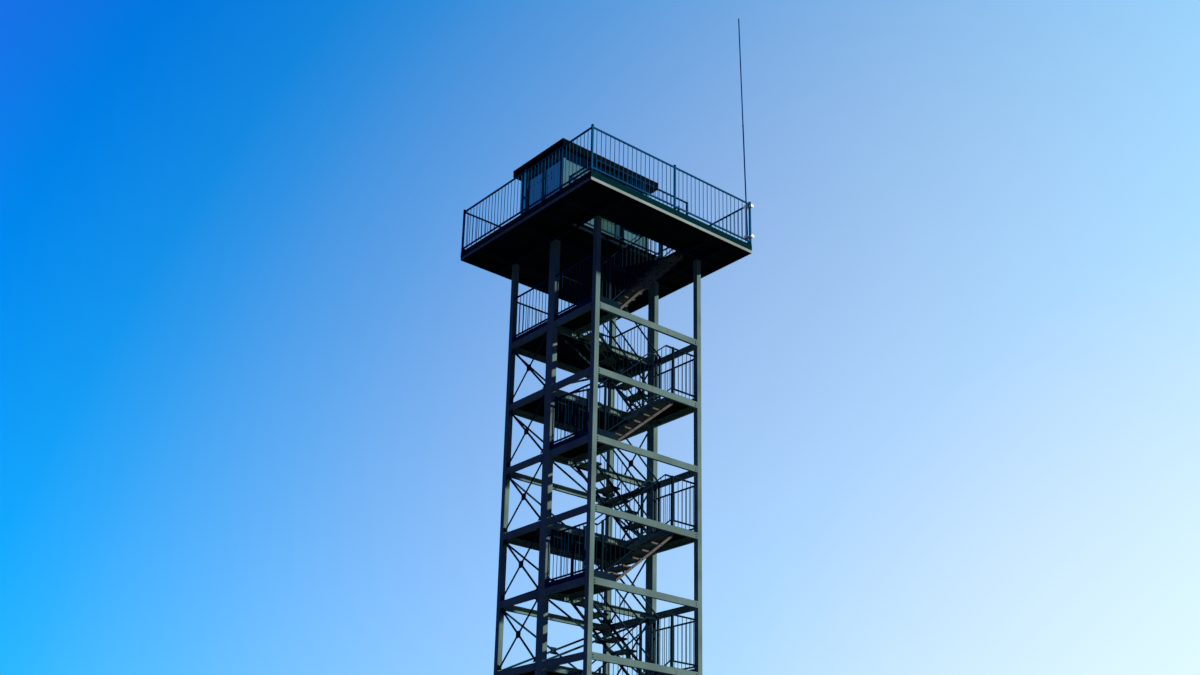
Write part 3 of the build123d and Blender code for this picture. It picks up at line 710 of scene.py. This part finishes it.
# Posts of the railings: square caps, foot plates and their bolts
DECK_POST_STUB = 0.035
CAP_SEAT = 0.001
CAP_BRIM = 0.002
CAP_EDGE = 0.006
CAP_PEAK = 0.014
CAP_TIP = 0.004
FOOT_REACH = 0.045
FOOT_EXTRA = 0.02
FOOT_PLATE = 0.008
FOOT_BOLT = 0.008
FOOT_BOLT_INSET = 0.012
FOOT_BOLT_CLEAR = 0.008
caps, feet, foot_bolts = Shape(), Shape(), Shape()


def cap(x, y, top, rise=0.0):
    """A square cap on a post, lifted on a short stub of the post by rise."""
    brim = POST + CAP_BRIM
    rings = []
    for height, reach in (
        (0, POST), (rise + CAP_SEAT, POST), (rise + CAP_SEAT, brim), (rise + CAP_EDGE, brim),
        (rise + CAP_PEAK, CAP_TIP),
    ):
        square = [(-reach, -reach), (reach, -reach), (reach, reach), (-reach, reach)]
        rings.append([Vector((x + dx, y + dy, top + height)) for dx, dy in square])
    caps.rings(rings)


def foot(x, y, z, inward=(0, 0)):
    """A foot plate under a post, kept on the floor plate by inward, with two bolts on each free side."""
    low = [x - FOOT_REACH, y - FOOT_REACH]
    high = [x + FOOT_REACH, y + FOOT_REACH]
    for axis in (0, 1):
        if inward[axis] > 0:
            low[axis] = (x, y)[axis] - POST
            high[axis] += FOOT_EXTRA
        elif inward[axis] < 0:
            high[axis] = (x, y)[axis] + POST
            low[axis] -= FOOT_EXTRA
    feet.box((*low, z), (*high, z + FOOT_PLATE))
    for px in (low[0] + FOOT_BOLT_INSET, high[0] - FOOT_BOLT_INSET):
        for py in (low[1] + FOOT_BOLT_INSET, high[1] - FOOT_BOLT_INSET):
            if max(abs(px - x), abs(py - y)) > POST + FOOT_BOLT_CLEAR:
                foot_bolts.bolt((px, py, z + FOOT_PLATE), Z, FOOT_BOLT)


edges = [(DECK_LOW, 1), (DECK_MIDDLE, 0), (DECK_HIGH, -1)]
for x, in_x in edges:
    for y, in_y in edges:
        if in_x or in_y:
            cap(x, y, DECK + RAIL_HEIGHT, DECK_POST_STUB)
            foot(x, y, DECK, (in_x, in_y))
guard_left = end_of("opening_guard", "left") + POST
guard_right = end_of("opening_guard", "right") - POST
for y in (end_of("opening_guard", "front") + POST, end_of("opening_guard", "back") - POST):
    for x in (guard_left, (guard_left + guard_right) / 2, guard_right):
        cap(x, y, DECK + RAIL_HEIGHT)
        foot(x, y, DECK)
for first, last, lane, low, rise, count in flights[:-1]:
    going = (last - first) / (count - 1)
    past = 2 * POST if going > 0 else -2 * POST
    for y in (lane + POST, lane + LANE - POST):
        if low > 0:
            foot(first - going - past, y, low)
        foot(last + past, y, low + rise)
        cap(last + past, y, low + rise + RAIL_HEIGHT)
caps.piece("post_caps", "rail_paint")
feet.piece("post_feet", "rail_paint", bevel=PLATE_EDGE)
foot_bolts.piece("post_bolts", "clamp_metal")

# Cabin trim: casings, sashes and sills of the windows, corner boards and the board along the foot
CASING = 0.045
CASING_DEPTH = 0.014
LINING_DEPTH = 0.012
SASH_BAR = 0.032
SASH_DEPTH = 0.018
SASH_FACES = (-0.022, -0.056)
SILL_REACH = 0.045
SILL_HEIGHT = 0.045
SILL_SLOPE = 0.02
SILL_OVERHANG = 0.01
CORNER_BOARDS = (0.064, 0.064)
SIDE_CORNER_BOARDS = (0.05, 0.09)
FOOT_BOARD = 0.09
FOOT_BOARD_DEPTH = 0.010
TRIM_GAP = 0.001
trim, sashes, sills = Shape(), Shape(), Shape()


def window(origin, along, out, panes, number):
    """Casings outside and inside, two sashes and the sill of one pane in a row of panes."""
    sides = (along, out, Z)
    start, end = panes[number]
    left, right = CASING, CASING
    if number:
        left = min(CASING, (start - panes[number - 1][1]) / 2)
    if number + 1 < len(panes):
        right = min(CASING, (panes[number + 1][0] - end) / 2)
    for near in ((0.0, CASING_DEPTH), (-WALL - LINING_DEPTH, -WALL)):
        for up in ((HEAD, HEAD + CASING), (SILL - CASING, SILL)):
            trim.slab(origin, sides, ((start - CASING, end + CASING), near, up))
        for across in ((start - left, start), (end, end + right)):
            trim.slab(origin, sides, (across, near, (SILL, HEAD)))
    outer = (panes[number], (SILL, HEAD))
    for face in SASH_FACES:
        thick = (face, face + SASH_DEPTH)
        sashes.surround(origin, (along, Z, out), outer, inset(outer, SASH_BAR), thick)
    foot_of_sill = SILL - SILL_HEIGHT
    profile = [(0.0, foot_of_sill), (SILL_REACH, foot_of_sill), (SILL_REACH, SILL - SILL_SLOPE), (0.0, SILL)]
    reach = CASING + SILL_OVERHANG
    corner = origin + along * (start - reach)
    sills.prism([corner + out * u + Z * v for u, v in profile], along * (end - start + 2 * reach))


def wall_trim(origin, along, out, length, panes, boards, lap):
    """The trim of one wall; its corner boards lap over those of the next walls."""
    sides = (along, out, Z)
    for number in range(len(panes)):
        window(origin, along, out, panes, number)
    upright = (DECK + TRIM_GAP, CABIN_TOP - TRIM_GAP)
    for across in ((-lap, boards[0]), (length - boards[1], length + lap)):
        trim.slab(origin, sides, (across, (0.0, CASING_DEPTH), upright))
    trim.slab(origin, sides, ((0.0, length), (0.0, FOOT_BOARD_DEPTH), (DECK + TRIM_GAP, DECK + FOOT_BOARD)))


front_left = Vector((CABIN_LEFT, CABIN_FRONT, 0))
front_right = Vector((CABIN_RIGHT, CABIN_FRONT, 0))
back_left = Vector((CABIN_LEFT, CABIN_BACK, 0))
wall_trim(front_left, Y, -X, CABIN_WIDTH, SIDE_PANES, SIDE_CORNER_BOARDS, 0.0)
wall_trim(front_right, Y, X, CABIN_WIDTH, SIDE_PANES, SIDE_CORNER_BOARDS, 0.0)
wall_trim(back_left, X, Y, CABIN_LENGTH, BACK_PANES, CORNER_BOARDS, CASING_DEPTH)
wall_trim(front_left, X, -Y, CABIN_LENGTH, FRONT_PANES, CORNER_BOARDS, CASING_DEPTH)
trim.piece("window_casings", "cabin_panel", bevel=BOARD_EDGE)
sashes.piece("window_sashes", "cabin_panel", bevel=SLIM_EDGE)
sills.piece("window_sills", "roof_boards", bevel=BOARD_EDGE)

# Door: jambs, the one at the hinges as blue as the antenna, and mouldings round panel and pane
JAMB = 0.05
LOCK_JAMB = 0.075
JAMB_DEPTH = 0.016
DOOR_GAP = 0.002
DOOR_STILE = 0.09
LOCK_STILE = 0.27
LOWER_PANEL = (DECK + 0.12, DECK + 0.88)
DOOR_PANE = (DECK + 1.0, DECK + 1.95)
MOULDING = 0.02
MOULDING_DEPTH = 0.008
jambs, lock_jamb, mouldings = Shape(), Shape(), Shape()


def jamb(shape, left, right, foot):
    """A board of the door's surround, from its foot up to the head."""
    shape.box((left, CABIN_FRONT - JAMB_DEPTH, foot), (right, CABIN_FRONT, DOOR_TOP + JAMB))


jamb(jambs, DOOR_LEFT - JAMB, DOOR_LEFT - DOOR_GAP, DECK + DOOR_GAP)
jamb(jambs, DOOR_LEFT - DOOR_GAP, DOOR_RIGHT + DOOR_GAP, DOOR_TOP + DOOR_GAP)
jamb(lock_jamb, DOOR_RIGHT + DOOR_GAP, DOOR_RIGHT + LOCK_JAMB, DECK + DOOR_GAP)
jambs.piece("door_jamb", "antenna_sleeve", bevel=BOARD_EDGE)
lock_jamb.piece("door_lock_jamb", "roof_boards", bevel=BOARD_EDGE)
for across, up in (
    ((DOOR_LEFT + DOOR_STILE, DOOR_RIGHT - DOOR_STILE), LOWER_PANEL),
    ((DOOR_LEFT + DOOR_STILE, DOOR_RIGHT - LOCK_STILE), DOOR_PANE),
):
    outer = inset((across, up), -MOULDING)
    mouldings.surround(Y * DOOR_FACE, (X, Z, -Y), outer, (across, up), (0.0, MOULDING_DEPTH))
mouldings.piece("door_mouldings", "door_paint", bevel=SLIM_EDGE)

# Door fittings: three hinges with their leaves, lock plate, lever and threshold
HINGE_HEIGHTS = (0.22, 1.03, 1.84)
HINGE = 0.1
HINGE_OUT = 0.018
HINGE_LEAF = (0.004, 0.06)
FITTING_PLATE = 0.004
LOCK_INSET = 0.06
LOCK_PLATE_HALF = 0.022
LOCK_PLATE = (DECK + 0.93, DECK + 1.15)
SPINDLE_HEIGHT = 1.06
LEVER_OUT = 0.046
LEVER_BACK = 0.008
THRESHOLD_OUT = 0.03
THRESHOLD = (DECK + 0.0005, DECK + 0.0035)
KNUCKLE_PROFILE = [(0, 0.006), (0.004, 0.008), (HINGE - 0.004, 0.008), (HINGE, 0.006)]
SPINDLE_PROFILE = [(0, 0.012), (0.045, 0.009)]
LEVER_PROFILE = [(0, 0.008), (0.004, 0.009), (0.12, 0.008), (0.124, 0.006)]
fittings = Shape()
plate_face = DOOR_FACE - FITTING_PLATE
for height in HINGE_HEIGHTS:
    fittings.turned((DOOR_LEFT, CABIN_FRONT - HINGE_OUT, DECK + height), Z, KNUCKLE_PROFILE)
    start, end = (DOOR_LEFT + place for place in HINGE_LEAF)
    fittings.box((start, plate_face, DECK + height), (end, DOOR_FACE, DECK + height + HINGE))
lock_x = DOOR_RIGHT - LOCK_INSET
low, high = LOCK_PLATE
fittings.box((lock_x - LOCK_PLATE_HALF, plate_face, low), (lock_x + LOCK_PLATE_HALF, DOOR_FACE, high))
fittings.turned((lock_x, plate_face, DECK + SPINDLE_HEIGHT), -Y, SPINDLE_PROFILE)
fittings.turned((lock_x + LEVER_BACK, DOOR_FACE - LEVER_OUT, DECK + SPINDLE_HEIGHT), -X, LEVER_PROFILE)
low, high = THRESHOLD
fittings.box((DOOR_LEFT, CABIN_FRONT - THRESHOLD_OUT, low), (DOOR_RIGHT, DOOR_FACE, high))
fittings.piece("door_fittings", "clamp_metal", bevel=FITTING_EDGE)

# Roof: soffit boards under the overhang, folded edge trim and three lapped sheets on top
ROOF_TOP = end_of("cabin_roof", "top")
ROOF_FOOT = end_of("cabin_roof", "foot")
ROOF_SPANS = [
    (end_of("cabin_roof", "left"), end_of("cabin_roof", "right")),
    (end_of("cabin_roof", "front"), end_of("cabin_roof", "back")),
]
FLAT = (X, Y, Z)
ORIGIN = Vector((0, 0, 0))
OVERHANG = 0.16
FASCIA = 0.03
SOFFIT_ROWS = 2
SOFFIT_FOOT = 0.015
SOFFIT_BOARD = 0.012
BOARD_GAP = 0.003
FOLD = 0.002
FOLD_DROP = 0.045
FOLD_LAP = 0.05
SHEETS = 3
SHEET = 0.004
SHEET_LAP = 0.03
SHEET_STEP = 0.003
soffit = Shape()
row_width = (OVERHANG - FASCIA - CASING_DEPTH) / SOFFIT_ROWS
soffit_low = ROOF_FOOT + SOFFIT_FOOT
for number in range(SOFFIT_ROWS):
    outer = inset(ROOF_SPANS, FASCIA + number * row_width)
    inner = inset(outer, row_width - BOARD_GAP)
    soffit.surround(ORIGIN, FLAT, outer, inner, (soffit_low, soffit_low + SOFFIT_BOARD))
soffit.piece("soffit_boards", "roof_boards", bevel=SLIM_EDGE)
edging = Shape()
upright = (ROOF_TOP - FOLD_DROP, ROOF_TOP + FOLD)
edging.surround(ORIGIN, FLAT, inset(ROOF_SPANS, -FOLD), ROOF_SPANS, upright)
edging.surround(ORIGIN, FLAT, ROOF_SPANS, inset(ROOF_SPANS, FOLD_LAP), (ROOF_TOP, ROOF_TOP + FOLD))
edging.piece("roof_edging", "roof_boards")
sheets = Shape()
(sheets_left, sheets_right), (sheets_front, sheets_back) = inset(ROOF_SPANS, FOLD_LAP)
width = (sheets_right - sheets_left) / SHEETS
for number in range(SHEETS):
    left = sheets_left + number * width
    overlap = SHEET_LAP if number else 0.0
    low = ROOF_TOP + SHEET_STEP * (number % 2)
    sheets.box((left - overlap, sheets_front, low), (left + width, sheets_back, low + SHEET))
sheets.piece("roof_sheets", "roof_boards", bevel=PLATE_EDGE)

# Antenna: a tube in two lengths with foot cap, ferrule and tip cap, leaning to the back left
AERIAL_INSET = 0.04
AERIAL_FOOT = 0.15
AERIAL_LEAN = radians(1.2)
LOWER_LENGTH = 3.0
FULL_LENGTH = 5.9
LOWER_RADIUS = 0.0157
UPPER_RADIUS = 0.0136
FERRULE_RADIUS = 0.0172
TIP_RADIUS = 0.0146
aerial = Vector((DECK_HIGH - AERIAL_INSET, DECK_LOW + AERIAL_INSET, DECK + AERIAL_FOOT))
aside = sin(AERIAL_LEAN) * sin(pi / 4)
foot_cap = [(0, 0.010), (0.004, 0.014), (0.03, LOWER_RADIUS)]
ferrule = [
    (LOWER_LENGTH - 0.06, LOWER_RADIUS), (LOWER_LENGTH - 0.055, FERRULE_RADIUS),
    (LOWER_LENGTH - 0.005, FERRULE_RADIUS), (LOWER_LENGTH, 0.0150), (LOWER_LENGTH + 0.03, 0.0139),
]
tip_cap = [
    (FULL_LENGTH - 0.06, UPPER_RADIUS), (FULL_LENGTH - 0.055, TIP_RADIUS), (FULL_LENGTH - 0.02, TIP_RADIUS),
    (FULL_LENGTH - 0.008, 0.012), (FULL_LENGTH, 0.006),
]
whip = Shape()
whip.turned(aerial, (-aside, aside, cos(AERIAL_LEAN)), foot_cap + ferrule + tip_cap, sides=16)
whip.piece("antenna_whip", "antenna_sleeve", ["antenna"])

# Rods, nuts and straps of the antenna's clamps
CLAMP_HEIGHTS = (0.23, 0.99)
CLAMP_FRONT = end_of("antenna_clamps", "front")
CLAMP_BACK = end_of("antenna_clamps", "back")
ROD_HEIGHTS = (0.016, 0.044)
ROD_INSET = 0.0255
ROD_RADIUS = 0.004
ROD_LENGTH = 0.178
ROD_START = 0.003
CLAMP_NUT = 0.008
CLAMP_NUT_STUB = 0.006
CLAMP_NUT_GAP = 0.002
SIDE_NUT_SETBACK = 0.135
STRAP = (0.02, 0.023)
STRAP_LENGTH = 0.17
STRAP_HEIGHTS = (0.005, 0.055)
clamps = Shape()
strap_near, strap_far = (DECK_HIGH + place for place in STRAP)
for height in CLAMP_HEIGHTS:
    seat = DECK + height
    for lift in ROD_HEIGHTS:
        rod_x = DECK_HIGH - ROD_INSET
        rod_profile = [(0, ROD_RADIUS), (ROD_LENGTH, ROD_RADIUS)]
        clamps.turned((rod_x, CLAMP_FRONT + ROD_START, seat + lift), Y, rod_profile, sides=8)
        clamps.bolt((rod_x, CLAMP_BACK + CLAMP_NUT_GAP, seat + lift), Y, CLAMP_NUT, CLAMP_NUT_STUB)
        clamps.bolt((strap_far, CLAMP_FRONT + SIDE_NUT_SETBACK, seat + lift), X, CLAMP_NUT)
    low, high = (seat + place for place in STRAP_HEIGHTS)
    clamps.box((strap_near, CLAMP_FRONT, low), (strap_far, CLAMP_FRONT + STRAP_LENGTH, high))
clamps.piece("clamp_bolts", "clamp_metal")

# Softened edges on the plain sections of the frame
MERGE_DISTANCE = 0.00002
for name in (
    "corner_columns", "middle_columns", "base_plates", "front_beams", "back_beams", "side_beams",
    "landing_edge_beams", "deck_long_edges", "deck_side_edges", "front_stringers", "back_stringers",
    "top_stringers", "cabin_roof", "antenna_clamps",
):
    merge = nodes[name].modifiers.new("merge", "WELD")
    merge.merge_threshold = MERGE_DISTANCE
    soften(nodes[name], COLUMN_EDGE if name == "corner_columns" else SECTION_EDGE)

# Camera, fitted to the photograph: place in metres, lens and sensor in millimetres
CAMERA_PLACE = Vector((-17.614, -21.254, 0.399))
CAMERA_YAW = radians(50.407)
CAMERA_PITCH = radians(19.038)
CAMERA_ROLL = radians(1.212)
CAMERA_LENS = 41.375
CAMERA_SENSOR = 36
CAMERA_SHIFT = 0.12
FARTHEST_SEEN = 500


def aim(yaw, pitch, roll):
    """Rotation of a camera that looks along yaw and pitch, turned by roll about its view."""
    ahead = Vector((cos(pitch) * cos(yaw), cos(pitch) * sin(yaw), sin(pitch)))
    level = Vector((sin(yaw), -cos(yaw), 0))
    upright = level.cross(ahead)
    right = cos(roll) * level + sin(roll) * upright
    up = cos(roll) * upright - sin(roll) * level
    return Matrix((right, up, -ahead)).transposed()


camera = bpy.data.objects.new("camera", bpy.data.cameras.new("camera"))
bpy.context.collection.objects.link(camera)
camera.matrix_world = Matrix.Translation(CAMERA_PLACE) @ aim(CAMERA_YAW, CAMERA_PITCH, CAMERA_ROLL).to_4x4()
camera.data.lens = CAMERA_LENS
camera.data.sensor_width = CAMERA_SENSOR
camera.data.shift_y = CAMERA_SHIFT
camera.data.clip_end = FARTHEST_SEEN
bpy.context.scene.camera = camera


# Light: a low sun from the right of the front, a weak one from behind, and the sky
def sun(name, place, strength, softness, colour):
    """A lamp that shines from the direction of a place, softness being its width in degrees."""
    lamp = bpy.data.lights.new(name, "SUN")
    lamp.energy = strength
    lamp.angle = radians(softness)
    lamp.color = colour
    lit = bpy.data.objects.new(name, lamp)
    lit.rotation_mode = "QUATERNION"
    lit.rotation_quaternion = Vector(place).to_track_quat("Z", "Y")
    bpy.context.collection.objects.link(lit)


sun("key_sun", place=(2.4, -1.0, 1.36), strength=6.6, softness=1.5, colour=(1.0, 0.97, 0.92))
sun("back_fill", place=(0.0, 1.0, 0.4), strength=1.1, softness=20.0, colour=(0.85, 0.93, 1.0))

world = bpy.data.worlds.new("sky")
world.use_nodes = True
bpy.context.scene.world = world
sky = world.node_tree


def looked_at(tree):
    """1 where the camera looks at a surface, also in metal or through glass, and 0 for its light."""
    paths = tree.nodes.new("ShaderNodeLightPath")
    share = paths.outputs["Is Camera Ray"]
    for ray in ("Is Glossy Ray", "Is Transmission Ray"):
        larger = tree.nodes.new("ShaderNodeMath")
        larger.operation = "MAXIMUM"
        tree.links.new(share, larger.inputs[0])
        tree.links.new(paths.outputs[ray], larger.inputs[1])
        share = larger.outputs[0]
    return share


def pointing(direction):
    """How far a view of the sky points along a direction, the same on all four sides of the tower."""
    view = sky.nodes.new("ShaderNodeTexCoord")
    mirrored = sky.nodes.new("ShaderNodeVectorMath")
    mirrored.operation = "ABSOLUTE"
    along = sky.nodes.new("ShaderNodeVectorMath")
    along.operation = "DOT_PRODUCT"
    along.inputs[1].default_value = direction
    sky.links.new(view.outputs["Generated"], mirrored.inputs[0])
    sky.links.new(mirrored.outputs[0], along.inputs[0])
    return along.outputs["Value"]


def rising(direction, low, high, start, end):
    """A channel that goes from start to end as the view turns towards a direction."""
    made = sky.nodes.new("ShaderNodeMapRange")
    for socket, number in (("From Min", low), ("From Max", high), ("To Min", start), ("To Max", end)):
        made.inputs[socket].default_value = number
    sky.links.new(pointing(direction), made.inputs["Value"])
    return made.outputs["Result"]


# Sky as the camera sees it, each channel rising along a direction of its own; red has stops on the way
SKY_STRENGTH = 0.16
RED_DIRECTION = (0.961, 0.257, -0.105)
GREEN_DIRECTION = (0.119, -0.621, -0.775)
BLUE_DIRECTION = (-0.343, -0.619, -0.706)
RED_STOPS = (
    (0.00, 0.25), (0.30, 0.10), (0.38, 0.0), (0.46, 0.08), (0.50, 0.19), (0.58, 0.37), (0.69, 0.55),
    (0.82, 0.68), (0.95, 0.90),
)
red = sky.nodes.new("ShaderNodeValToRGB")
while len(red.color_ramp.elements) < len(RED_STOPS):
    red.color_ramp.elements.new(0.5)
for element, (place, level) in zip(red.color_ramp.elements, RED_STOPS):
    element.position = place
    element.color = (*linear((level, level, level)), 1)
sky.links.new(pointing(RED_DIRECTION), red.inputs["Fac"])
shade = sky.nodes.new("ShaderNodeCombineColor")
sky.links.new(red.outputs["Color"], shade.inputs["Red"])
sky.links.new(rising(GREEN_DIRECTION, low=-0.916, high=-0.326, start=0.17, end=0.96), shade.inputs["Green"])
sky.links.new(rising(BLUE_DIRECTION, low=-0.992, high=-0.855, start=0.71, end=1.0), shade.inputs["Blue"])
seen_sky = sky.nodes.new("ShaderNodeBackground")
sky.links.new(shade.outputs["Color"], seen_sky.inputs["Color"])
soft_light = sky.nodes["Background"]
soft_light.inputs["Color"].default_value = (*SKY_LIGHT, 1)
soft_light.inputs["Strength"].default_value = SKY_STRENGTH
chosen = sky.nodes.new("ShaderNodeMixShader")
for number, source in enumerate((looked_at(sky), soft_light.outputs[0], seen_sky.outputs[0])):
    sky.links.new(source, chosen.inputs[number])
sky.links.new(chosen.outputs[0], sky.nodes["World Output"].inputs["Surface"])

# Floor, pale to the camera and dark to the light it throws up
FLOOR_SIZE = 400
FLOOR_ROUGHNESS = 0.9
bpy.ops.mesh.primitive_plane_add(size=FLOOR_SIZE)
floor = bpy.context.active_object
floor.name = "floor"
ground = Graph("floor")
ground.colour(ground.mix(looked_at(ground.tree), FLOOR_BOUNCE, FLOOR))
ground.shader.inputs["Roughness"].default_value = FLOOR_ROUGHNESS
floor.data.materials.append(ground.material)
floor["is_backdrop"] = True

bpy.context.scene.view_settings.view_transform = "Standard"
low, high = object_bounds()
